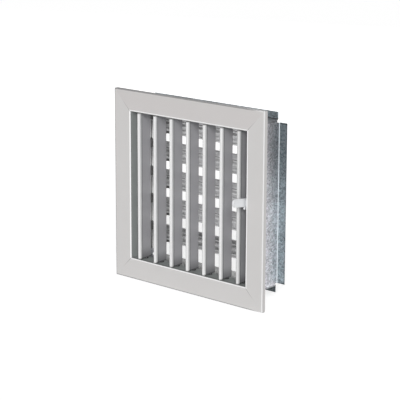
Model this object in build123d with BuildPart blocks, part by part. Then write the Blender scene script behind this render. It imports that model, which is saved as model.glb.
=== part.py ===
import os
from math import cos, radians, sin

from build123d import *

# Air outlet grille: a mitred aluminium face frame with upright adjustable blades, on a galvanised
# casing that carries a lever-worked damper. Millimetres, +Z up, +Y into the wall.
# The origin is the centre of the opening on the wall plane, where the frame's lip seats.

# Face frame
face_size = 256.0
border = 28.0
face_plate = 1.6
lip_depth = 6.0
lip_wall = 1.6
return_depth = 22.0
return_wall = 1.6
inner_bevel = 1.0
outer_round = 0.6
rib_wall = 1.2
rib_depth = 8.0

# Corner keys behind the mitres
key_leg = 46.0
key_width = 12.0
key_plate = 2.0
key_inset = 4.0

# Galvanised casing
casing_inset = 20.0
casing_sheet = 1.0
casing_depth = 54.0
side_flange_width = 12.0
end_flange_width = 9.5
bend_radius = 1.0
side_flange_relief = 3.5
end_flange_relief = 2.6
corner_relief = 3.0

# Upright blades
blade_count = 7
blade_chord = 23.1
nose_radius = 2.3
nose_setback = 0.3
blade_shoulder = 3.4
blade_tail = 1.2
blade_pivot_depth = 14.5
blade_end_gap = 1.0

# Blade pins, square in the blade and round beyond it, and their six-sided bushes
pin_shank = 1.4
pin_grip = 10.0
pin_radius = 1.2
pin_overrun = 0.5
bush_radius = 3.5
bush_sides = 6
bush_nib = 0.6
bush_tail = 1.0
press_fit = 0.02
running_fit = 0.05

# Damper rails
rail_sheet = 1.0
rail_step = 4.0
rail_leg = 14.0
rail_lead = 11.6
rail_tail = 6.4
rail_end = 20.0
rail_end_gap = 4.0

# Damper blades and shafts
damper_count = 5
damper_margin = 31.0
damper_lap = 8.0
damper_setback = 1.6
damper_lift = 2.5
damper_sheet = 0.8
damper_tilt = 48.5
hem_width = 4.0
groove_place = 11.0
groove_width = 4.0
groove_height = 1.4
bead_sides = 6
shaft_radius = 2.5
shaft_overrun = 0.5
damper_end_gap = 1.5
damper_bush_radius = 4.0
damper_bush_nib = 0.3

# Damper linkage on the left-hand side: an end cap with a lug on each blade, and a link bar
crank_plate = 2.0
crank_above = 1.2
crank_below = 1.6
crank_hub_radius = 4.5
crank_hub_sides = 6
lug_reach = 19.4
lug_drop = 4.2
lug_width = 10.0
lug_height = 12.5
crank_pin_reach = 19.0
crank_pin_drop = 6.5
crank_pin_radius = 1.2
crank_pin_overrun = 0.2
link_plate = 1.0
link_width = 5.0
link_end = 4.0
link_gap = 0.4

# Damper lever
lever_edge_gap = 4.0
lever_plate = 2.0
lever_angle = 6.9
lever_stand = 20.2
lever_arm_width = 8.0
lever_hub_radius = 6.0
lever_hub_width = 6.0
lever_bore_sides = 6
lever_side_gap = 0.5
paddle_length = 25.0
paddle_width = 10.6
paddle_round = 4.5
paddle_rim = 1.2
paddle_rim_height = 0.6
hook_width = 2.2
hook_drop = 3.6

# Places worked out from the sizes above
face_y = -lip_depth
face_half = face_size / 2
opening = face_size - 2 * border
opening_half = opening / 2
casing_half = face_half - casing_inset
casing_inner = casing_half - casing_sheet
rail_outer = casing_inner - rail_step
rail_inner = rail_outer - rail_sheet
blade_pitch = opening / blade_count
blade_y = face_y + blade_pivot_depth
nose_y = face_y + nose_setback
blade_half = opening_half - blade_end_gap
damper_axis_depth = casing_depth + damper_setback
damper_y = face_y + damper_axis_depth
damper_pitch = 2 * (casing_inner - damper_margin) / (damper_count - 1)
damper_chord = damper_pitch + damper_lap
hem_middle = (damper_chord - hem_width) / 2
bead_bore = shaft_radius + running_fit
bead_outer = bead_bore + damper_sheet
rail_half = damper_pitch * (damper_count - 1) / 2 + rail_end
link_x = -rail_inner + link_gap
crank_x = link_x + link_plate + link_gap
damper_left = crank_x + crank_plate
damper_right = rail_inner - damper_end_gap
shaft_half = rail_outer + shaft_overrun
crank_pin_reach_level = crank_pin_reach * cos(radians(damper_tilt)) + crank_pin_drop * sin(radians(damper_tilt))
crank_pin_rise = crank_pin_reach * sin(radians(damper_tilt)) - crank_pin_drop * cos(radians(damper_tilt))
lever_x = opening_half - lever_edge_gap
lever_hub_start = lever_x - lever_hub_width / 2
lever_length = (damper_axis_depth + lever_stand) / cos(radians(lever_angle))
middle_damper = (damper_count + 1) // 2


def blade_place(number):
    """X of an upright blade, counted from the left."""
    return (number - (blade_count + 1) / 2) * blade_pitch


def damper_place(number):
    """Z of a damper blade, counted from the top."""
    return damper_lift + ((damper_count + 1) / 2 - number) * damper_pitch


def write(part, name):
    part.label = name
    export_step(part, f"parts/{name}.step")


blade_places = [(blade_place(number), blade_y) for number in range(1, blade_count + 1)]
damper_places = [(damper_y, damper_place(number)) for number in range(1, damper_count + 1)]

# Each side of the frame and casing is drawn on a plane whose x runs inward from the outer edge
# and whose y runs towards the viewer, and is extruded along the side.
inward = {
    "bottom": Vector(0, 0, 1),
    "right": Vector(-1, 0, 0),
    "top": Vector(0, 0, -1),
    "left": Vector(1, 0, 0),
}


def side_plane(side):
    along = inward[side].cross(Vector(0, -1, 0))
    corner = inward[side] * -face_half + Vector(0, face_y, 0)
    return Plane(origin=corner, x_dir=inward[side], z_dir=along)


def frame_bar(side):
    """A mitred length of the face extrusion: lip, face plate, casing rib and inner return."""
    plane = side_plane(side)
    rib_outer = casing_inset + casing_sheet
    outline = [
        (0, 0),
        (border - inner_bevel, 0),
        (border, -inner_bevel),
        (border, -return_depth),
        (border - return_wall, -return_depth),
        (border - return_wall, -face_plate),
        (rib_outer + rib_wall, -face_plate),
        (rib_outer + rib_wall, -face_plate - rib_depth),
        (rib_outer, -face_plate - rib_depth),
        (rib_outer, -face_plate),
        (lip_wall, -face_plate),
        (lip_wall, -lip_depth),
        (0, -lip_depth),
    ]
    with BuildPart() as bar:
        with BuildSketch(plane) as profile:
            with BuildLine():
                Polyline(*outline, close=True)
            make_face()
            fillet(profile.vertices().sort_by_distance((0, 0, 0))[0], outer_round)
        extrude(amount=face_half, both=True)
        for end in (1, -1):
            corner = plane.origin + plane.z_dir * (end * face_half)
            mitre = Plane(origin=corner, z_dir=plane.z_dir * end + plane.x_dir)
            split(bisect_by=mitre, keep=Keep.BOTTOM)
        if side in ("top", "bottom"):
            with BuildSketch(Plane.XY.offset(-inward[side].Z * opening_half)):
                with Locations(*blade_places):
                    RegularPolygon(bush_radius + press_fit, bush_sides)
            extrude(amount=return_wall + bush_tail, both=True, mode=Mode.SUBTRACT)
    return bar.part


def casing_panel(side):
    """One wall of the casing with its outward rear flange, cut back at the corners."""
    plane = side_plane(side)
    ends = side in ("top", "bottom")
    wall_half = casing_half if ends else casing_inner
    flange_half = casing_half - (end_flange_relief if ends else side_flange_relief)
    flange_width = end_flange_width if ends else side_flange_width
    inner = casing_inset + casing_sheet
    back = casing_depth + casing_sheet
    outline = [
        (casing_inset, -face_plate),
        (inner, -face_plate),
        (inner, -back),
        (casing_inset - flange_width, -back),
        (casing_inset - flange_width, -casing_depth),
        (casing_inset, -casing_depth),
    ]
    wall_depth = casing_depth - bend_radius - corner_relief - face_plate
    with BuildPart() as panel:
        with BuildSketch(plane) as section:
            with BuildLine():
                Polyline(*outline, close=True)
            make_face()
            fillet(section.vertices().sort_by_distance((inner, -back, 0))[0], bend_radius + casing_sheet)
            fillet(section.vertices().sort_by_distance((casing_inset, -casing_depth, 0))[0], bend_radius)
        extrude(amount=flange_half, both=True)
        with BuildSketch(plane):
            with Locations((casing_inset, -face_plate)):
                Rectangle(casing_sheet, wall_depth, align=(Align.MIN, Align.MAX))
        extrude(amount=wall_half, both=True)
    return panel.part


def damper_rail(side):
    """A strip welded inside the casing and standing out behind it; the side strips step in and carry the shafts."""
    wall = casing_inset + casing_sheet
    web = wall + rail_step
    step_depth = damper_axis_depth - rail_lead
    front = step_depth - rail_leg
    back = damper_axis_depth + rail_tail
    with BuildPart() as rail:
        with BuildSketch(side_plane(side)):
            if side in ("top", "bottom"):
                with Locations((wall, -front)):
                    Rectangle(rail_sheet, back - front, align=(Align.MIN, Align.MAX))
            else:
                with BuildLine():
                    Polyline(
                        (wall, -front),
                        (wall + rail_sheet, -front),
                        (wall + rail_sheet, -step_depth),
                        (web + rail_sheet, -step_depth),
                        (web + rail_sheet, -back),
                        (web, -back),
                        (web, -step_depth - rail_sheet),
                        (wall, -step_depth - rail_sheet),
                        close=True,
                    )
                make_face()
        if side in ("top", "bottom"):
            extrude(amount=rail_inner - rail_end_gap, both=True)
        else:
            extrude(amount=rail_half, both=True)
            with BuildSketch(Plane.YZ):
                with Locations(*damper_places):
                    RegularPolygon(damper_bush_radius + press_fit, bush_sides)
            extrude(amount=face_half, both=True, mode=Mode.SUBTRACT)
    return rail.part


os.makedirs("parts", exist_ok=True)

for side in inward:
    write(frame_bar(side), f"frame_{side}")
    write(casing_panel(side), f"casing_{side}")
    write(damper_rail(side), f"damper_rail_{side}")

# Corner keys: flat angles on the back of the face plate, one across each mitre
with BuildPart() as corner_keys:
    key_outer = face_half - lip_wall - key_inset
    with BuildSketch(Plane.XZ.offset(-(face_y + face_plate))):
        for across in (1, -1):
            for upward in (1, -1):
                with BuildLine():
                    Polyline(
                        (across * key_outer, upward * key_outer),
                        (across * (key_outer - key_leg), upward * key_outer),
                        (across * (key_outer - key_leg), upward * (key_outer - key_width)),
                        (across * (key_outer - key_width), upward * (key_outer - key_width)),
                        (across * (key_outer - key_width), upward * (key_outer - key_leg)),
                        (across * key_outer, upward * (key_outer - key_leg)),
                        close=True,
                    )
                make_face()
    extrude(amount=-key_plate)
write(corner_keys.part, "corner_keys")

# Upright blades: one extrusion with a round nose and a thin tail, and a pin in each end
for number, place in enumerate(blade_places, start=1):
    x = place[0]
    with BuildPart() as front_blade:
        with BuildSketch(Plane.XY.offset(-blade_half)):
            with Locations((x, nose_y + nose_radius)):
                Circle(nose_radius)
            with BuildLine():
                Polyline(
                    (x - blade_shoulder / 2, nose_y + nose_radius),
                    (x + blade_shoulder / 2, nose_y + nose_radius),
                    (x + blade_tail / 2, nose_y + blade_chord),
                    (x - blade_tail / 2, nose_y + blade_chord),
                    close=True,
                )
            make_face()
        extrude(amount=2 * blade_half)
        for end in (1, -1):
            with BuildSketch(Plane.XY.offset(end * blade_half)):
                with Locations(place):
                    Rectangle(pin_shank + 2 * press_fit, pin_shank + 2 * press_fit)
            extrude(amount=-end * pin_grip, mode=Mode.SUBTRACT)
    write(front_blade.part, f"front_blade_{number}")

    with BuildPart() as blade_pins:
        for end in (1, -1):
            with BuildSketch(Plane.XY.offset(end * blade_half)):
                with Locations(place):
                    Rectangle(pin_shank, pin_shank)
            extrude(amount=-end * pin_grip)
            with BuildSketch(Plane.XY.offset(end * blade_half)):
                with Locations(place):
                    Circle(pin_radius)
            extrude(amount=end * (blade_end_gap + return_wall + bush_tail + pin_overrun))
    write(blade_pins.part, f"blade_pins_{number}")

# Blade bushes: six-sided collars pressed through the top and bottom returns
for side, end in (("top", 1), ("bottom", -1)):
    with BuildPart() as blade_bushes:
        with BuildSketch(Plane.XY.offset(end * (opening_half - bush_nib))):
            with Locations(*blade_places):
                RegularPolygon(bush_radius, bush_sides)
                Circle(pin_radius + running_fit, mode=Mode.SUBTRACT)
        extrude(amount=end * (bush_nib + return_wall + bush_tail))
    write(blade_bushes.part, f"blade_bushes_{side}")

# Damper bushes: six-sided collars in the side rails
for side, end in (("left", -1), ("right", 1)):
    with BuildPart() as damper_bushes:
        with BuildSketch(Plane.YZ.offset(end * (rail_inner - damper_bush_nib))):
            with Locations(*damper_places):
                RegularPolygon(damper_bush_radius, bush_sides)
                Circle(shaft_radius + running_fit, mode=Mode.SUBTRACT)
        extrude(amount=end * (damper_bush_nib + rail_sheet))
    write(damper_bushes.part, f"damper_bushes_{side}")


def tilted_plane(x, z, rise):
    """A plane across a damper shaft; its x runs up towards the front, its y to the blade's front side."""
    forward = Vector(0, -cos(radians(rise)), sin(radians(rise)))
    return Plane(origin=(x, damper_y, z), x_dir=forward, z_dir=(1, 0, 0))


# Damper: folded blades with hemmed edges, two grooves and a channel over the shaft, and end cranks
groove = [(-groove_width / 2, 0), (groove_width / 2, 0), (0, groove_height)]
for number in range(1, damper_count + 1):
    z = damper_place(number)
    right_end = lever_hub_start - lever_side_gap if number == middle_damper else damper_right
    with BuildPart() as damper_blade:
        with BuildSketch(tilted_plane(damper_left, z, damper_tilt)):
            Rectangle(damper_chord, damper_sheet)
            with Locations((hem_middle, damper_sheet), (-hem_middle, damper_sheet)):
                Rectangle(hem_width, damper_sheet)
            with Locations((groove_place, damper_sheet / 2), (-groove_place, damper_sheet / 2)):
                Polygon(*groove, align=None)
            with Locations((groove_place, -damper_sheet / 2), (-groove_place, -damper_sheet / 2)):
                Polygon(*groove, align=None, mode=Mode.SUBTRACT)
            RegularPolygon(bead_outer, bead_sides, major_radius=False)
            with Locations((0, -damper_sheet / 2)):
                Rectangle(damper_chord, bead_outer, align=(Align.CENTER, Align.MAX), mode=Mode.SUBTRACT)
            RegularPolygon(bead_bore, bead_sides, major_radius=False, mode=Mode.SUBTRACT)
        extrude(amount=right_end - damper_left)
    write(damper_blade.part, f"damper_blade_{number}")

    with BuildPart() as damper_shaft:
        with BuildSketch(tilted_plane(-shaft_half, z, damper_tilt)):
            Circle(shaft_radius)
        extrude(amount=2 * shaft_half)
    write(damper_shaft.part, f"damper_shaft_{number}")

    with BuildPart() as damper_crank:
        with BuildSketch(tilted_plane(crank_x, z, damper_tilt)):
            with Locations((lug_reach, lug_drop)):
                Rectangle(lug_width, lug_height, rotation=damper_tilt)
            with Locations((lug_reach, -crank_above)):
                Rectangle(2 * lug_height, lug_height, align=(Align.CENTER, Align.MAX), mode=Mode.SUBTRACT)
            with Locations((0, -crank_above)):
                Rectangle(damper_chord, crank_above + crank_below, align=(Align.CENTER, Align.MIN))
            RegularPolygon(crank_hub_radius, crank_hub_sides)
            RegularPolygon(shaft_radius + press_fit, crank_hub_sides, major_radius=False, mode=Mode.SUBTRACT)
        extrude(amount=crank_plate)
        with BuildSketch(tilted_plane(crank_x, z, damper_tilt)):
            with Locations((crank_pin_reach, crank_pin_drop)):
                Circle(crank_pin_radius)
        extrude(amount=-(link_gap + link_plate + crank_pin_overrun))
    write(damper_crank.part, f"damper_crank_{number}")

# Link bar: a flat strip that ties the crank pins together
pin_places = [(y - crank_pin_reach_level, z + crank_pin_rise) for y, z in damper_places]
with BuildPart() as link_bar:
    with BuildSketch(Plane.YZ.offset(link_x)):
        with Locations((damper_y - crank_pin_reach_level, damper_lift + crank_pin_rise)):
            Rectangle(link_width, (damper_count - 1) * damper_pitch + 2 * link_end)
        with Locations(*pin_places):
            Circle(crank_pin_radius + running_fit, mode=Mode.SUBTRACT)
    extrude(amount=link_plate)
write(link_bar.part, "link_bar")

# Damper lever: a moulded arm on the middle shaft with a rimmed paddle and a small catch below
with BuildPart() as damper_lever:
    lever_start = lever_x - lever_plate / 2
    lever_z = damper_place(middle_damper)
    paddle_start = lever_length - paddle_length
    with BuildSketch(tilted_plane(lever_start, lever_z, lever_angle)):
        Rectangle(lever_length - paddle_round, lever_arm_width, align=(Align.MIN, Align.CENTER))
        Circle(lever_hub_radius)
        with BuildSketch(mode=Mode.ADD) as paddle:
            with Locations((paddle_start, 0)):
                Rectangle(paddle_length, paddle_width, align=(Align.MIN, Align.CENTER))
            fillet(paddle.vertices().group_by(Axis.X)[-1], paddle_round)
        with Locations((paddle_start, paddle_width / 2)):
            Rectangle(hook_width, hook_drop, align=(Align.MIN, Align.MIN))
        RegularPolygon(shaft_radius + press_fit, lever_bore_sides, major_radius=False, mode=Mode.SUBTRACT)
    extrude(amount=lever_plate)
    with BuildSketch(tilted_plane(lever_hub_start, lever_z, lever_angle)):
        Circle(lever_hub_radius)
        RegularPolygon(shaft_radius + press_fit, lever_bore_sides, major_radius=False, mode=Mode.SUBTRACT)
    extrude(amount=lever_hub_width)
    with BuildSketch(tilted_plane(lever_start + lever_plate, lever_z, lever_angle)):
        with BuildSketch(mode=Mode.ADD) as rim:
            with Locations((paddle_start, 0)):
                Rectangle(paddle_length, paddle_width, align=(Align.MIN, Align.CENTER))
            fillet(rim.vertices().group_by(Axis.X)[-1], paddle_round)
            offset(amount=-paddle_rim, mode=Mode.SUBTRACT)
    extrude(amount=paddle_rim_height)
write(damper_lever.part, "damper_lever")
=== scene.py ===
import math
import bpy
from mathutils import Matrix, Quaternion, Vector


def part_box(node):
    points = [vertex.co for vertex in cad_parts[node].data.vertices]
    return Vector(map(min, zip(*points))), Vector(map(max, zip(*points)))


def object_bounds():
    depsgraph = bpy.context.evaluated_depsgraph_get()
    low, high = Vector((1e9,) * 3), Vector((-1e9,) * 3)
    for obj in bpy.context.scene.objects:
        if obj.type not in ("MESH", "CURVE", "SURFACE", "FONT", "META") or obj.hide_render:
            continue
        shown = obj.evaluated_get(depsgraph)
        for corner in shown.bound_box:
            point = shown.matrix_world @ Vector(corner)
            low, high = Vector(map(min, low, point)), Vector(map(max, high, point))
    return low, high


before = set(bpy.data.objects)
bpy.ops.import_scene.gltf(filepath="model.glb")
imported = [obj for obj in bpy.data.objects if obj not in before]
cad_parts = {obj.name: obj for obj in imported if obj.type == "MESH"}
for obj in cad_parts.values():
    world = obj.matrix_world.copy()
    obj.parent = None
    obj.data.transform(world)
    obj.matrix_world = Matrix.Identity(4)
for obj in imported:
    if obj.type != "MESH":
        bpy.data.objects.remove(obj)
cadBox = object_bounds()
mm = 0.001
print("grille: frame loaded,", len(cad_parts), "nodes")


# camera and studio

view = {
    "azimuth": 41.732,       # degrees to the right of straight on
    "elevation": 13.741,
    "roll": 0.211,
    "focalPixels": 1509.39,  # focal length in pixels of a 400 pixel wide image
    "imageWidth": 400,
    "sensor": 36.0,
    "target": (23.81, -6.0, 0.60),   # mm, on the face plane
    "distance": 1923.0,      # mm
}


def towardsPart(azimuth, elevation):
    # direction of sight from a place round the part
    az = math.radians(azimuth)
    el = math.radians(elevation)
    return Vector((-math.sin(az) * math.cos(el), math.cos(az) * math.cos(el), -math.sin(el)))


def placeCamera():
    towards = towardsPart(view["azimuth"], view["elevation"])
    data = bpy.data.cameras.new("photoCamera")
    data.sensor_width = view["sensor"]
    data.lens = view["focalPixels"] / view["imageWidth"] * view["sensor"]
    camera = bpy.data.objects.new("photoCamera", data)
    bpy.context.collection.objects.link(camera)
    camera.location = (Vector(view["target"]) - towards * view["distance"]) * mm
    level = towards.to_track_quat("-Z", "Y")
    camera.rotation_euler = (level @ Quaternion((0, 0, 1), math.radians(view["roll"]))).to_euler()
    bpy.context.scene.camera = camera


studio = {
    "floorSize": 6.0,
    "floorGap": 0.5 * mm,           # the floor lies just under the frame
    "floorColour": (0.8, 0.8, 0.8, 1.0),
    "floorGlow": 0.62,              # with its own light the floor is white, and the shadow stays
    "white": (1.0, 1.0, 1.0, 1.0),
    "worldStrength": 0.22,
    "keyPower": 18.0,               # broad soft box, low and a little to the right of straight on
    "keySize": (2.4, 0.5),
    "keyPlace": (0.6, -2.5, 0.13),
    "sidePower": 5.0,               # soft box for the right-hand lip and casing wall
    "sideSize": (1.2, 0.8),
    "sidePlace": (2.4, 0.5, 0.1),
    "sunPower": 1.85,               # soft light from over the camera, for the floor's shadow
    "sunAngle": 25.0,
    "sunElevation": 25.0,
    "sunAzimuth": 41.7,
    "backPower": 16.0,              # weak soft box for the rear
    "backSize": (1.6, 1.0),
    "backPlace": (-0.9, 2.4, 0.7),
}


def softBox(name, place, power, size):
    data = bpy.data.lights.new(name, "AREA")
    data.shape = "RECTANGLE"
    data.energy = power
    data.size, data.size_y = size
    lamp = bpy.data.objects.new(name, data)
    bpy.context.collection.objects.link(lamp)
    lamp.location = place
    lamp.rotation_euler = (-Vector(place)).to_track_quat("-Z", "Y").to_euler()


def softSun():
    data = bpy.data.lights.new("skyBox", "SUN")
    data.energy = studio["sunPower"]
    data.angle = math.radians(studio["sunAngle"])
    lamp = bpy.data.objects.new("skyBox", data)
    bpy.context.collection.objects.link(lamp)
    towards = towardsPart(studio["sunAzimuth"], studio["sunElevation"])
    lamp.rotation_euler = towards.to_track_quat("-Z", "Y").to_euler()


def seenRays(tree):
    # 1 for camera, mirror-like and see-through rays
    path = tree.nodes.new("ShaderNodeLightPath")
    seen = path.outputs["Is Camera Ray"]
    for other in ("Is Glossy Ray", "Is Transmission Ray"):
        either = tree.nodes.new("ShaderNodeMath")
        either.operation = "MAXIMUM"
        tree.links.new(seen, either.inputs[0])
        tree.links.new(path.outputs[other], either.inputs[1])
        seen = either.outputs[0]
    return seen


def buildFloor():
    half = studio["floorSize"] / 2
    level = cadBox[0][2] - studio["floorGap"]
    mesh = bpy.data.meshes.new("floor")
    corners = [(-half, -half, level), (half, -half, level), (half, half, level), (-half, half, level)]
    mesh.from_pydata(corners, [], [(0, 1, 2, 3)])
    floor = bpy.data.objects.new("floor", mesh)
    bpy.context.collection.objects.link(floor)
    paint = bpy.data.materials.new("floorPaint")
    paint.use_nodes = True
    tree = paint.node_tree
    tree.nodes.clear()
    matt = tree.nodes.new("ShaderNodeBsdfDiffuse")
    matt.inputs["Color"].default_value = studio["floorColour"]
    glow = tree.nodes.new("ShaderNodeEmission")
    glow.inputs["Color"].default_value = studio["white"]
    strength = tree.nodes.new("ShaderNodeMath")
    strength.operation = "MULTIPLY"
    tree.links.new(seenRays(tree), strength.inputs[0])
    strength.inputs[1].default_value = studio["floorGlow"]
    tree.links.new(strength.outputs[0], glow.inputs["Strength"])
    both = tree.nodes.new("ShaderNodeAddShader")
    tree.links.new(matt.outputs[0], both.inputs[0])
    tree.links.new(glow.outputs[0], both.inputs[1])
    out = tree.nodes.new("ShaderNodeOutputMaterial")
    tree.links.new(both.outputs[0], out.inputs["Surface"])
    mesh.materials.append(paint)


def buildStudio():
    buildFloor()
    world = bpy.data.worlds.new("studioWorld")
    world.use_nodes = True
    bpy.context.scene.world = world
    tree = world.node_tree
    tree.nodes.clear()
    soft = tree.nodes.new("ShaderNodeBackground")
    soft.inputs["Color"].default_value = studio["white"]
    soft.inputs["Strength"].default_value = studio["worldStrength"]
    backdrop = tree.nodes.new("ShaderNodeBackground")
    backdrop.inputs["Color"].default_value = studio["white"]
    backdrop.inputs["Strength"].default_value = 1.0
    mix = tree.nodes.new("ShaderNodeMixShader")
    tree.links.new(seenRays(tree), mix.inputs[0])
    tree.links.new(soft.outputs[0], mix.inputs[1])
    tree.links.new(backdrop.outputs[0], mix.inputs[2])
    out = tree.nodes.new("ShaderNodeOutputWorld")
    tree.links.new(mix.outputs[0], out.inputs["Surface"])
    softBox("keyBox", studio["keyPlace"], studio["keyPower"], studio["keySize"])
    softBox("sideBox", studio["sidePlace"], studio["sidePower"], studio["sideSize"])
    softSun()
    softBox("backBox", studio["backPlace"], studio["backPower"], studio["backSize"])
    bpy.context.scene.view_settings.view_transform = "Standard"


placeCamera()
buildStudio()
print("grille: camera and studio")


# shared effects

def newGroup(name, inputs, outputs):
    group = bpy.data.node_groups.new(name, "ShaderNodeTree")
    for label, kind, value in inputs:
        socket = group.interface.new_socket(name=label, in_out="INPUT", socket_type=kind)
        socket.default_value = value
    for label, kind in outputs:
        group.interface.new_socket(name=label, in_out="OUTPUT", socket_type=kind)
    return group, group.nodes.new("NodeGroupInput"), group.nodes.new("NodeGroupOutput")


def addNode(tree, kind, **settings):
    node = tree.nodes.new(kind)
    for key, value in settings.items():
        setattr(node, key, value)
    return node


def mathNode(tree, operation, a, b=None, c=None):
    node = addNode(tree, "ShaderNodeMath", operation=operation)
    for socket, value in zip(node.inputs, (a, b, c)):
        if value is None:
            continue
        if isinstance(value, (int, float)):
            socket.default_value = value
        else:
            tree.links.new(value, socket)
    return node.outputs[0]


def mixColour(tree, factor, a, b, blend="MIX"):
    node = addNode(tree, "ShaderNodeMix", data_type="RGBA", blend_type=blend)
    for socket, value in ((node.inputs[0], factor), (node.inputs[6], a), (node.inputs[7], b)):
        if isinstance(value, (int, float, tuple)):
            socket.default_value = value
        else:
            tree.links.new(value, socket)
    return node.outputs[2]


def noiseNode(tree, vector, scale, detail=3.0, rough=0.5):
    node = addNode(tree, "ShaderNodeTexNoise")
    node.inputs["Detail"].default_value = detail
    node.inputs["Roughness"].default_value = rough
    if isinstance(scale, (int, float)):
        node.inputs["Scale"].default_value = scale
    else:
        tree.links.new(scale, node.inputs["Scale"])
    tree.links.new(vector, node.inputs["Vector"])
    return node.outputs["Fac"]


def ramp(tree, value, low, high, outLow=0.0, outHigh=1.0):
    node = addNode(tree, "ShaderNodeMapRange", clamp=True, interpolation_type="SMOOTHSTEP")
    for name, number in (("From Min", low), ("From Max", high), ("To Min", outLow), ("To Max", outHigh)):
        node.inputs[name].default_value = number
    tree.links.new(value, node.inputs["Value"])
    return node.outputs["Result"]


def band(tree, value, low, high, soft):
    # 1 from low to high, fading to 0 over soft on either side
    rise = ramp(tree, value, low - soft, low)
    fall = ramp(tree, value, high, high + soft, 1.0, 0.0)
    return mathNode(tree, "MULTIPLY", rise, fall)


def scaleColour(tree, colour, gain):
    node = addNode(tree, "ShaderNodeVectorMath", operation="SCALE")
    tree.links.new(colour, node.inputs[0])
    tree.links.new(gain, node.inputs["Scale"])
    return node.outputs[0]


def placeAxes(tree):
    axes = tree.nodes.new("ShaderNodeSeparateXYZ")
    tree.links.new(tree.nodes.new("ShaderNodeTexCoord").outputs["Object"], axes.inputs[0])
    return axes.outputs[0], axes.outputs[1], axes.outputs[2]


powderGrain = {
    "cloudScale": 22.0,
    "peelScale": 900.0,
    "roughSwing": 0.12,
}


def powderCoatGroup():
    # fine orange peel with faint cloudiness in the colour
    group, given, out = newGroup(
        "powderCoat",
        [("Colour", "NodeSocketColor", (0.6, 0.6, 0.6, 1)), ("Cloud", "NodeSocketFloat", 0.06),
         ("Rough", "NodeSocketFloat", 0.45)],
        [("Colour", "NodeSocketColor"), ("Roughness", "NodeSocketFloat"), ("Height", "NodeSocketFloat")])
    place = addNode(group, "ShaderNodeTexCoord").outputs["Object"]
    cloud = noiseNode(group, place, powderGrain["cloudScale"], 4.0)
    peel = noiseNode(group, place, powderGrain["peelScale"], 2.0)
    shade = mathNode(group, "MULTIPLY", mathNode(group, "SUBTRACT", cloud, 0.5), given.outputs["Cloud"])
    colour = scaleColour(group, given.outputs["Colour"], mathNode(group, "ADD", shade, 1.0))
    group.links.new(colour, out.inputs["Colour"])
    spread = mathNode(group, "MULTIPLY", mathNode(group, "SUBTRACT", peel, 0.5), powderGrain["roughSwing"])
    group.links.new(mathNode(group, "ADD", given.outputs["Rough"], spread), out.inputs["Roughness"])
    group.links.new(peel, out.inputs["Height"])
    return group


zincGrain = {
    "warpScale": 400.0,
    "warpReach": (2 * mm, 2 * mm, 2 * mm),   # the cells' edges wander by this much
    "featherScale": 900.0,
    "cloudScale": 45.0,
    "cellShare": 0.6,                        # shares of the tone
    "featherShare": 0.25,
    "cloudShare": 0.15,
    "coolTint": (0.93, 1.0, 1.02, 1),
    "warmTint": (1.03, 0.98, 1.04, 1),
    "smooth": 0.34,
    "coarse": 0.54,
}


def spangleGroup():
    # zinc crystals: small cells of differing tone and tint, with feathery streaks and broad clouds
    group, given, out = newGroup(
        "spangle",
        [("Colour", "NodeSocketColor", (0.5, 0.5, 0.5, 1)), ("Cells", "NodeSocketFloat", 400.0),
         ("Contrast", "NodeSocketFloat", 0.5), ("Tint", "NodeSocketFloat", 0.5)],
        [("Colour", "NodeSocketColor"), ("Roughness", "NodeSocketFloat"), ("Height", "NodeSocketFloat")])
    place = addNode(group, "ShaderNodeTexCoord").outputs["Object"]
    warpNoise = addNode(group, "ShaderNodeTexNoise")
    warpNoise.inputs["Scale"].default_value = zincGrain["warpScale"]
    group.links.new(place, warpNoise.inputs["Vector"])
    warp = addNode(group, "ShaderNodeVectorMath", operation="MULTIPLY_ADD")
    group.links.new(warpNoise.outputs["Color"], warp.inputs[0])
    warp.inputs[1].default_value = zincGrain["warpReach"]
    group.links.new(place, warp.inputs[2])
    cells = addNode(group, "ShaderNodeTexVoronoi", feature="F1")
    group.links.new(warp.outputs[0], cells.inputs["Vector"])
    group.links.new(given.outputs["Cells"], cells.inputs["Scale"])
    split = addNode(group, "ShaderNodeSeparateColor")
    group.links.new(cells.outputs["Color"], split.inputs[0])
    feather = noiseNode(group, place, zincGrain["featherScale"], 4.0, 0.65)
    cloud = noiseNode(group, place, zincGrain["cloudScale"], 3.0)
    tone = mathNode(group, "MULTIPLY", split.outputs[0], zincGrain["cellShare"])
    tone = mathNode(group, "MULTIPLY_ADD", feather, zincGrain["featherShare"], tone)
    tone = mathNode(group, "MULTIPLY_ADD", cloud, zincGrain["cloudShare"], tone)
    swing = mathNode(group, "MULTIPLY", mathNode(group, "SUBTRACT", tone, 0.5), given.outputs["Contrast"])
    gain = mathNode(group, "ADD", mathNode(group, "MULTIPLY", swing, 2.0), 1.0)
    tint = mixColour(group, split.outputs[1], zincGrain["coolTint"], zincGrain["warmTint"])
    part = mixColour(group, given.outputs["Tint"], (1.0, 1.0, 1.0, 1), tint)
    tinted = mixColour(group, 1.0, given.outputs["Colour"], part, "MULTIPLY")
    group.links.new(scaleColour(group, tinted, gain), out.inputs["Colour"])
    rough = ramp(group, tone, 0.2, 0.8, zincGrain["smooth"], zincGrain["coarse"])
    group.links.new(rough, out.inputs["Roughness"])
    group.links.new(tone, out.inputs["Height"])
    return group


powderCoat = powderCoatGroup()
spangle = spangleGroup()


def startMaterial(name, metallic, specular):
    material = bpy.data.materials.new(name)
    material.use_nodes = True
    tree = material.node_tree
    tree.nodes.clear()
    shader = tree.nodes.new("ShaderNodeBsdfPrincipled")
    shader.inputs["Metallic"].default_value = metallic
    shader.inputs["Specular IOR Level"].default_value = specular
    out = tree.nodes.new("ShaderNodeOutputMaterial")
    tree.links.new(shader.outputs[0], out.inputs["Surface"])
    return material, tree, shader


def placeGroup(tree, group, **values):
    node = tree.nodes.new("ShaderNodeGroup")
    node.node_tree = group
    for label, value in values.items():
        node.inputs[label].default_value = value
    return node


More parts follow.
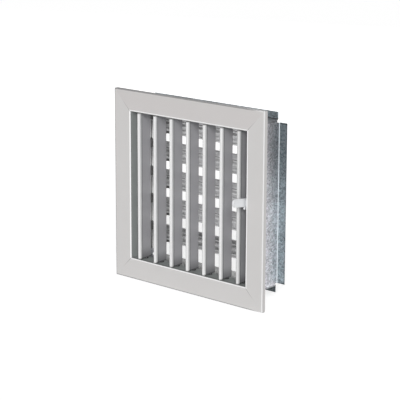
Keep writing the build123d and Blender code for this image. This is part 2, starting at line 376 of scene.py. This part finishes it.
def placeCoat(tree, finish):
    return placeGroup(tree, powderCoat, Colour=finish["colour"], Cloud=finish["cloud"], Rough=finish["rough"])


def giveSurface(tree, shader, effect, finish):
    # roughness and bump from a shared effect
    tree.links.new(effect.outputs["Roughness"], shader.inputs["Roughness"])
    bump = tree.nodes.new("ShaderNodeBump")
    bump.inputs["Strength"].default_value = finish["bump"]
    bump.inputs["Distance"].default_value = finish["bumpDepth"]
    tree.links.new(effect.outputs["Height"], bump.inputs["Height"])
    tree.links.new(bump.outputs[0], shader.inputs["Normal"])


# face frame

frameFinish = {
    "colour": (0.600, 0.588, 0.582, 1),
    "cloud": 0.05,
    "rough": 0.42,
    "bump": 0.12,
    "bumpDepth": 0.05 * mm,
    "topBarShadeTint": (0.965, 0.95, 0.95, 1),   # painted shade: the top bar is a little darker
    "paintedHighlightEdge": (0.8, 0.8, 0.8, 1),          # painted highlight along the outer edge at the right
    "paintedShadeEdge": (0.3, 0.3, 0.3, 1),         # and painted shade along it on the other sides
    "edgeWidth": 1.4 * mm,
    "bevelHighlightColour": (0.92, 0.92, 0.92, 1),   # painted highlight on the bevel round the opening
    "bevelWidth": 1.0 * mm,
    "topBevelExtra": 0.8 * mm,              # the painted highlight runs on a little over the top bar
    "rightBevelExtra": 1.3 * mm,            # and over the right bar
    "returnShadeTint": (0.51, 0.555, 0.55, 1),   # painted shade on the returns inside the opening
    "returnStart": 1.4 * mm,
    "sillShadeTone": 0.65,                       # painted shade along the front of the bottom return
    "sillDepth": 5.0 * mm,
    "soft": 0.3 * mm,
    "ledgeShadeTone": 0.2,                       # painted shade along the top of the lip
    "mitreWidth": 0.2 * mm,
    "mitreColour": (0.2, 0.2, 0.2, 1),
    "mitreStrength": 0.85,
    "mitreLength": 0.65,                    # share of the bar's width
}
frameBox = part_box("frame_right")
faceHalf = frameBox[1].x
openingHalf = frameBox[0].x
facePlane = frameBox[0].y


def frameMaterial():
    material, tree, shader = startMaterial("frameCoat", metallic=0.0, specular=0.45)
    coat = placeCoat(tree, frameFinish)
    x, y, z = placeAxes(tree)
    across = mathNode(tree, "ABSOLUTE", x)
    upward = mathNode(tree, "ABSOLUTE", z)
    reach = mathNode(tree, "MAXIMUM", across, upward)    # square rings round the opening
    soft = frameFinish["soft"]
    bevel = frameFinish["bevelWidth"]
    onFace = ramp(tree, y, facePlane + bevel, facePlane + bevel + soft, 1.0, 0.0)
    # outer edge: painted highlight where x is the greatest of the ring, painted shade elsewhere
    lead = mathNode(tree, "DIVIDE", x, reach)
    onRight = ramp(tree, lead, 0.8, 1.0)
    edgeHighlightAndShade = mixColour(tree, onRight, frameFinish["paintedShadeEdge"], frameFinish["paintedHighlightEdge"])
    edgeStart = faceHalf - frameFinish["edgeWidth"]
    edge = mathNode(tree, "MULTIPLY", ramp(tree, reach, edgeStart, edgeStart + soft), onFace)
    # painted highlight on the bevel, reaching further over the top and right bars
    pastTop = mathNode(tree, "SUBTRACT", z, across)
    pastRight = mathNode(tree, "SUBTRACT", x, upward)
    topExtra = ramp(tree, pastTop, -soft, soft, 0.0, frameFinish["topBevelExtra"])
    rightExtra = ramp(tree, pastRight, -soft, soft, 0.0, frameFinish["rightBevelExtra"])
    bevelReach = mathNode(tree, "SUBTRACT", mathNode(tree, "SUBTRACT", reach, topExtra), rightExtra)
    bevelEnd = openingHalf + bevel
    onBevel = mathNode(tree, "MULTIPLY", onFace,
                       ramp(tree, bevelReach, bevelEnd, bevelEnd + soft, 1.0, 0.0))
    # painted shade on the returns, behind the bevel and facing the opening
    returnStart = facePlane + frameFinish["returnStart"]
    inside = mathNode(tree, "MULTIPLY", ramp(tree, y, returnStart, returnStart + soft),
                      ramp(tree, reach, openingHalf + soft, openingHalf + 2 * soft, 1.0, 0.0))
    # painted shade on the front of the bottom return
    bottomBar = ramp(tree, mathNode(tree, "ADD", z, across), -soft, soft, 1.0, 0.0)
    sillEnd = facePlane + frameFinish["sillDepth"]
    sill = mathNode(tree, "MULTIPLY", mathNode(tree, "MULTIPLY", inside, bottomBar),
                    ramp(tree, y, sillEnd, sillEnd + 3 * soft, 1.0, 0.0))
    sill = ramp(tree, sill, 0.0, 1.0, 1.0, frameFinish["sillShadeTone"])
    # painted shade on the top of the lip, behind the face
    ledge = mathNode(tree, "MULTIPLY", ramp(tree, z, faceHalf - soft, faceHalf - soft / 3),
                     ramp(tree, y, facePlane + soft, facePlane + 2 * soft))
    ledge = ramp(tree, ledge, 0.0, 1.0, 1.0, frameFinish["ledgeShadeTone"])
    # hairline at each mitre, where |x| equals |z|, fading out towards the outer corner
    away = mathNode(tree, "ABSOLUTE", mathNode(tree, "SUBTRACT", across, upward))
    width = frameFinish["mitreWidth"]
    line = ramp(tree, away, width, 3 * width, frameFinish["mitreStrength"], 0.0)
    lineEnd = openingHalf + (faceHalf - openingHalf) * frameFinish["mitreLength"]
    line = mathNode(tree, "MULTIPLY", line, ramp(tree, reach, openingHalf, lineEnd, 1.0, 0.0))
    onTop = ramp(tree, pastTop, -soft / 3, soft / 3)
    # painted shade tint on the top bar
    tint = mixColour(tree, onTop, studio["white"], frameFinish["topBarShadeTint"])
    tint = mixColour(tree, inside, tint, frameFinish["returnShadeTint"])
    colour = mixColour(tree, 1.0, coat.outputs["Colour"], tint, "MULTIPLY")
    colour = mixColour(tree, edge, colour, edgeHighlightAndShade)
    colour = scaleColour(tree, colour, mathNode(tree, "MULTIPLY", ledge, sill))
    colour = mixColour(tree, onBevel, colour, frameFinish["bevelHighlightColour"])
    colour = mixColour(tree, line, colour, frameFinish["mitreColour"])
    tree.links.new(colour, shader.inputs["Base Color"])
    giveSurface(tree, shader, coat, frameFinish)
    return material


# upright blades

bladeFinish = {
    # the faces' grey is partly the coat's own and partly painted shade from between the blades
    "colour": (0.4, 0.397, 0.415, 1),
    "noseWhiteAndHighlight": (0.75, 0.75, 0.75, 1),    # the round front edge is a brighter white, partly a painted highlight on the round
    "seamColour": (0.2, 0.2, 0.21, 1),      # shade in the crease behind it
    "noseDepth": 5.1 * mm,
    "seamDepth": 1.2 * mm,
    "soft": 0.3 * mm,
    "cloud": 0.06,
    "rough": 0.36,
    "bump": 0.1,
    "bumpDepth": 0.05 * mm,
    "footShadeTone": 0.55,                       # painted shade gathers towards the foot
    "footRise": 17 * mm,
    "headShadowTone": 0.92,                       # and a painted shadow of the top bar close under it, on a slant
    "headDrop": 3.0 * mm,
    "headFade": 1.6 * mm,
    "headSlope": 0.27,
    "tipShadeTone": 0.35,                        # painted shade in the gap at either end of the nose
    "tipHeight": 2.0 * mm,
    "endBladeShadeTone": 0.86,                    # painted shade: the last blade is a little darker, beside the frame
}
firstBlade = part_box("front_blade_1")
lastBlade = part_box("front_blade_7")
nosePlane = firstBlade[0].y
bladeTop = firstBlade[1].z


def bladeMaterial():
    material, tree, shader = startMaterial("bladeCoat", metallic=0.0, specular=0.5)
    coat = placeCoat(tree, bladeFinish)
    x, y, z = placeAxes(tree)
    noseEnd = nosePlane + bladeFinish["noseDepth"]
    soft = bladeFinish["soft"]
    nose = ramp(tree, y, noseEnd - soft, noseEnd, 1.0, 0.0)
    seam = band(tree, y, noseEnd, noseEnd + bladeFinish["seamDepth"], soft)
    # painted shade towards the foot
    foot = ramp(tree, z, -bladeTop, -bladeTop + bladeFinish["footRise"], bladeFinish["footShadeTone"], 1.0)
    # painted shadow of the top bar, on a slant
    depth = mathNode(tree, "SUBTRACT", y, facePlane)
    headPlace = mathNode(tree, "MULTIPLY_ADD", depth, bladeFinish["headSlope"], z)
    headStart = openingHalf - bladeFinish["headDrop"]
    headEnd = headStart + bladeFinish["headFade"]
    head = ramp(tree, headPlace, headStart, headEnd, 1.0, bladeFinish["headShadowTone"])
    tone = mathNode(tree, "MULTIPLY", foot, head)
    # painted shade at either end of the nose
    tip = ramp(tree, mathNode(tree, "ABSOLUTE", z), bladeTop - bladeFinish["tipHeight"], bladeTop, 1.0,
               bladeFinish["tipShadeTone"])
    colour = mixColour(tree, seam, coat.outputs["Colour"], bladeFinish["seamColour"])
    colour = scaleColour(tree, colour, tone)
    # nose painted brighter, partly a painted highlight
    colour = mixColour(tree, nose, colour, bladeFinish["noseWhiteAndHighlight"])
    # painted shade on the last blade
    end = ramp(tree, x, lastBlade[0].x - soft, lastBlade[0].x, 1.0, bladeFinish["endBladeShadeTone"])
    colour = scaleColour(tree, colour, mathNode(tree, "MULTIPLY", tip, end))
    tree.links.new(colour, shader.inputs["Base Color"])
    giveSurface(tree, shader, coat, bladeFinish)
    return material


# galvanised casing and damper

zincFinish = {
    "casing": {"colour": (0.575, 0.545, 0.575, 1), "cells": 600.0, "contrast": 0.7, "tint": 0.8},
    "damper": {"colour": (0.665, 0.665, 0.665, 1), "cells": 600.0, "contrast": 0.2, "tint": 0.2},
    "rail": {"colour": (0.74, 0.74, 0.73, 1), "cells": 600.0, "contrast": 0.2, "tint": 0.2,
             "endTone": 0.25, "endLevel": 100 * mm},    # the top and bottom rails are darker
    "metallic": 0.85,
    "bump": 0.15,
    "bumpDepth": 0.1 * mm,
}


def startZinc(name, finish):
    material, tree, shader = startMaterial(name, zincFinish["metallic"], specular=0.5)
    zinc = placeGroup(tree, spangle, Colour=finish["colour"], Cells=finish["cells"],
                      Contrast=finish["contrast"], Tint=finish["tint"])
    giveSurface(tree, shader, zinc, zincFinish)
    return material, tree, shader, zinc.outputs["Colour"]


def railMaterial():
    finish = zincFinish["rail"]
    material, tree, shader, colour = startZinc("railZinc", finish)
    upward = mathNode(tree, "ABSOLUTE", placeAxes(tree)[2])
    tone = ramp(tree, upward, finish["endLevel"] - mm, finish["endLevel"], 1.0, finish["endTone"])
    tree.links.new(scaleColour(tree, colour, tone), shader.inputs["Base Color"])
    return material


casingShade = {
    "topShadeTone": 0.86,                         # painted shade: the zinc is darker towards the top
    "topLevel": 100 * mm,
    "clearLevel": -40 * mm,
    "backTopShadeTone": 0.5,                      # painted shade, more so at the back
    "backTint": (0.95, 1.01, 0.98, 1),       # where it also turns a little green
    "backStart": 14 * mm,
    "backEnd": 34 * mm,
    "flangeTint": (0.68, 0.83, 0.81, 1),
    "flangeTopShadeTone": 0.8,                    # the flange has the painted shade at the top too
    # painted shade on the bottom flange
    "lowFlangeShadeTone": 0.3,
    "topFlangeGain": 1.25,
    "insideShadeTone": 0.6,                       # painted shade inside the casing
    "foldHighlightColour": (0.66, 0.71, 0.735, 1),    # painted highlight along the upright folds
    "foldTopTone": 0.9,
    "foldWidth": 0.9 * mm,
    "rimTone": 0.6,                          # dark cut edge round the flange
    "rimWidth": 1.3 * mm,
    "flangeRelief": 3.5 * mm,                # the side flanges stop short of the corners
    "endFoldShadeTone": 0.4,                      # painted shade in the top and bottom folds
    "soft": 0.4 * mm,
}
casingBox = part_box("casing_right")
flangeBack = casingBox[1].y
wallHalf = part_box("casing_top")[1].x
flangeHalf = (casingBox[1].x, casingBox[1].z)


def casingMaterial():
    material, tree, shader, zinc = startZinc("casingZinc", zincFinish["casing"])
    x, y, z = placeAxes(tree)
    soft = casingShade["soft"]
    fold = casingShade["foldWidth"]
    across = mathNode(tree, "ABSOLUTE", x)
    upward = mathNode(tree, "ABSOLUTE", z)
    reach = mathNode(tree, "MAXIMUM", across, upward)    # square rings round the casing
    onFlange = ramp(tree, reach, wallHalf + fold, wallHalf + fold + soft)
    atBack = ramp(tree, y, flangeBack - 2 * fold - soft, flangeBack - 2 * fold)
    onFold = mathNode(tree, "MULTIPLY", atBack, band(tree, reach, wallHalf - fold, wallHalf + fold, soft))
    onSide = ramp(tree, mathNode(tree, "SUBTRACT", across, upward), -soft, soft)
    back = ramp(tree, y, casingShade["backStart"], casingShade["backEnd"])
    height = ramp(tree, z, casingShade["clearLevel"], casingShade["topLevel"])
    tint = mixColour(tree, back, studio["white"], casingShade["backTint"])
    tint = mixColour(tree, onFlange, tint, casingShade["flangeTint"])
    colour = mixColour(tree, 1.0, zinc, tint, "MULTIPLY")
    # painted shade towards the top, more at the back and on the flange
    topShade = ramp(tree, height, 0.0, 1.0, 1.0, casingShade["topShadeTone"])
    wallBack = mathNode(tree, "MULTIPLY", back, mathNode(tree, "SUBTRACT", 1.0, onFlange))
    backTop = mathNode(tree, "MULTIPLY", height, wallBack)
    backTopShade = ramp(tree, backTop, 0.0, 1.0, 1.0, casingShade["backTopShadeTone"])
    flangeTop = mathNode(tree, "MULTIPLY", height, onFlange)
    flangeTopShade = ramp(tree, flangeTop, 0.0, 1.0, 1.0, casingShade["flangeTopShadeTone"])
    # painted shade on the bottom flange
    low = ramp(tree, z, -wallHalf - fold - soft, -wallHalf - fold, casingShade["lowFlangeShadeTone"], 1.0)
    high = ramp(tree, z, wallHalf + fold, wallHalf + fold + soft, 1.0, casingShade["topFlangeGain"])
    sideStart, endStart = [half - casingShade["rimWidth"] for half in flangeHalf]
    sideRim = ramp(tree, across, sideStart, sideStart + soft, 1.0, casingShade["rimTone"])
    endPlace = mathNode(tree, "MULTIPLY_ADD", onFlange, casingShade["flangeRelief"], upward)
    endRim = ramp(tree, endPlace, endStart, endStart + soft, 1.0, casingShade["rimTone"])
    endRim = mathNode(tree, "MAXIMUM", endRim, mathNode(tree, "SUBTRACT", 1.0, onSide))
    # painted shade inside the casing
    inside = ramp(tree, reach, wallHalf - 2 * soft, wallHalf - soft, casingShade["insideShadeTone"], 1.0)
    # painted shade in the top and bottom folds
    endFold = mathNode(tree, "MULTIPLY", onFold, mathNode(tree, "SUBTRACT", 1.0, onSide))
    endFold = ramp(tree, endFold, 0.0, 1.0, 1.0, casingShade["endFoldShadeTone"])
    for tone in (topShade, backTopShade, flangeTopShade, low, high, sideRim, endRim, inside, endFold):
        colour = scaleColour(tree, colour, tone)
    # painted highlight along the upright folds
    foldHighlightColour = addNode(tree, "ShaderNodeVectorMath", operation="SCALE")
    foldHighlightColour.inputs[0].default_value = casingShade["foldHighlightColour"][:3]
    foldTone = ramp(tree, height, 0.0, 1.0, 1.0, casingShade["foldTopTone"])
    tree.links.new(foldTone, foldHighlightColour.inputs["Scale"])
    colour = mixColour(tree, mathNode(tree, "MULTIPLY", onFold, onSide), colour, foldHighlightColour.outputs[0])
    tree.links.new(colour, shader.inputs["Base Color"])
    return material


# damper blades, with painted light and shade along their ribs

damperMarks = {
    "tilt": 48.5,                            # degrees, as the blades stand at rest
    # painted shade and highlight lines along the ribs: place from the shaft towards the front edge and half
    # width in mm, and tone
    "ribLightAndShade": ((9.6, 1.5, 0.4), (5.4, 1.2, 1.6), (3.0, 0.7, 0.75),
              (1.2, 1.0, 1.3), (-2.4, 0.8, 0.85), (-20, 1.5, 0.9)),
    "lineSoft": 0.6,
    "leftShadeTone": 0.7,                         # painted shade, darker at the linkage end
    "leftEnd": -90 * mm,
    "leftFade": 14 * mm,
    "cornerShadowTone": 0.1,                       # with a painted shadow on its rear corner
    "cornerShadowStart": -18.6,
}
damperBoxes = [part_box("damper_blade_%d" % number) for number in (2, 3)]
damperY, damperZ = [(damperBoxes[1][0][axis] + damperBoxes[1][1][axis]) / 2 for axis in (1, 2)]
damperPitch = damperBoxes[0][0].z - damperBoxes[1][0].z


def chordPlace(tree):
    # mm across a damper blade from its shaft, u = z sin(tilt) - y cos(tilt), with z wrapped to one pitch
    x, y, z = placeAxes(tree)
    tilt = math.radians(damperMarks["tilt"])
    half = damperPitch / 2
    level = mathNode(tree, "WRAP", mathNode(tree, "SUBTRACT", z, damperZ), half, -half)
    depth = mathNode(tree, "SUBTRACT", y, damperY)
    rise = mathNode(tree, "MULTIPLY", level, math.sin(tilt) / mm)
    return mathNode(tree, "SUBTRACT", rise, mathNode(tree, "MULTIPLY", depth, math.cos(tilt) / mm))


def damperMaterial():
    material, tree, shader, colour = startZinc("damperZinc", zincFinish["damper"])
    u = chordPlace(tree)
    soft = damperMarks["lineSoft"]
    # painted shade and highlight lines along the ribs
    for middle, half, tone in damperMarks["ribLightAndShade"]:
        line = band(tree, u, middle - half, middle + half, soft)
        colour = scaleColour(tree, colour, ramp(tree, line, 0.0, 1.0, 1.0, tone))
    x = placeAxes(tree)[0]
    leftEnd = damperMarks["leftEnd"]
    # painted shadow on the rear corner at the linkage end
    cornerShadow = mathNode(tree, "MULTIPLY", ramp(tree, x, leftEnd - 2 * mm, leftEnd, 1.0, 0.0),
                      ramp(tree, u, damperMarks["cornerShadowStart"] - soft, damperMarks["cornerShadowStart"], 1.0, 0.0))
    # painted shade towards the linkage end
    leftShade = ramp(tree, x, leftEnd, leftEnd + damperMarks["leftFade"], damperMarks["leftShadeTone"], 1.0)
    colour = scaleColour(tree, colour, leftShade)
    colour = scaleColour(tree, colour, ramp(tree, cornerShadow, 0.0, 1.0, 1.0, damperMarks["cornerShadowTone"]))
    tree.links.new(colour, shader.inputs["Base Color"])
    return material


# small fittings

fittingFinish = {
    "lever": {"colour": (0.8, 0.81, 0.83, 1), "rough": 0.35, "cloud": 0.04},
    "bush": {"colour": (0.03, 0.03, 0.032, 1), "rough": 0.5, "cloud": 0.1},
    "crank": {"colour": (0.24, 0.24, 0.23, 1), "rough": 0.5, "cloud": 0.1,
              # painted shadow on the rear end of each crank
              "rearShadowTone": 0.12, "rearEnd": -14.0},
    "pin": {"colour": (0.5, 0.5, 0.5, 1), "rough": 0.32, "cloud": 0.3},
    "bump": 0.08,
    "bumpDepth": 0.04 * mm,
}


def plasticMaterial(name, finish):
    material, tree, shader = startMaterial(name, metallic=0.0, specular=0.5)
    coat = placeCoat(tree, finish)
    tree.links.new(coat.outputs["Colour"], shader.inputs["Base Color"])
    giveSurface(tree, shader, coat, fittingFinish)
    return material


def crankMaterial(finish):
    # painted shadow on the rear end of each crank
    material, tree, shader = startMaterial("crankPlastic", metallic=0.0, specular=0.5)
    coat = placeCoat(tree, finish)
    tone = ramp(tree, chordPlace(tree), finish["rearEnd"] - 1.0, finish["rearEnd"], finish["rearShadowTone"], 1.0)
    tree.links.new(scaleColour(tree, coat.outputs["Colour"], tone), shader.inputs["Base Color"])
    giveSurface(tree, shader, coat, fittingFinish)
    return material


def pinMaterial(finish):
    material, tree, shader = startMaterial("drawnSteel", metallic=1.0, specular=0.5)
    coat = placeCoat(tree, finish)
    tree.links.new(coat.outputs["Colour"], shader.inputs["Base Color"])
    tree.links.new(coat.outputs["Roughness"], shader.inputs["Roughness"])
    return material


finishes = {
    "frame_": frameMaterial(),
    "front_blade_": bladeMaterial(),
    "casing_": casingMaterial(),
    "damper_rail_": railMaterial(),
    "damper_blade_": damperMaterial(),
    "damper_crank_": crankMaterial(fittingFinish["crank"]),
    "damper_lever": plasticMaterial("leverPlastic", fittingFinish["lever"]),
    "damper_shaft_": pinMaterial(fittingFinish["pin"]),
    "blade_bushes_": plasticMaterial("bushPlastic", fittingFinish["bush"]),
}
sameAs = {"corner_keys": "damper_rail_", "link_bar": "damper_rail_", "blade_pins_": "damper_shaft_",
          "damper_bushes_": "blade_bushes_"}
for start, other in sameAs.items():
    finishes[start] = finishes[other]


def dressNodes():
    for name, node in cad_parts.items():
        start = max((key for key in finishes if name.startswith(key)), key=len)
        node.data.materials.clear()
        node.data.materials.append(finishes[start])


dressNodes()
print("grille: materials on", len(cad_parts), "nodes")
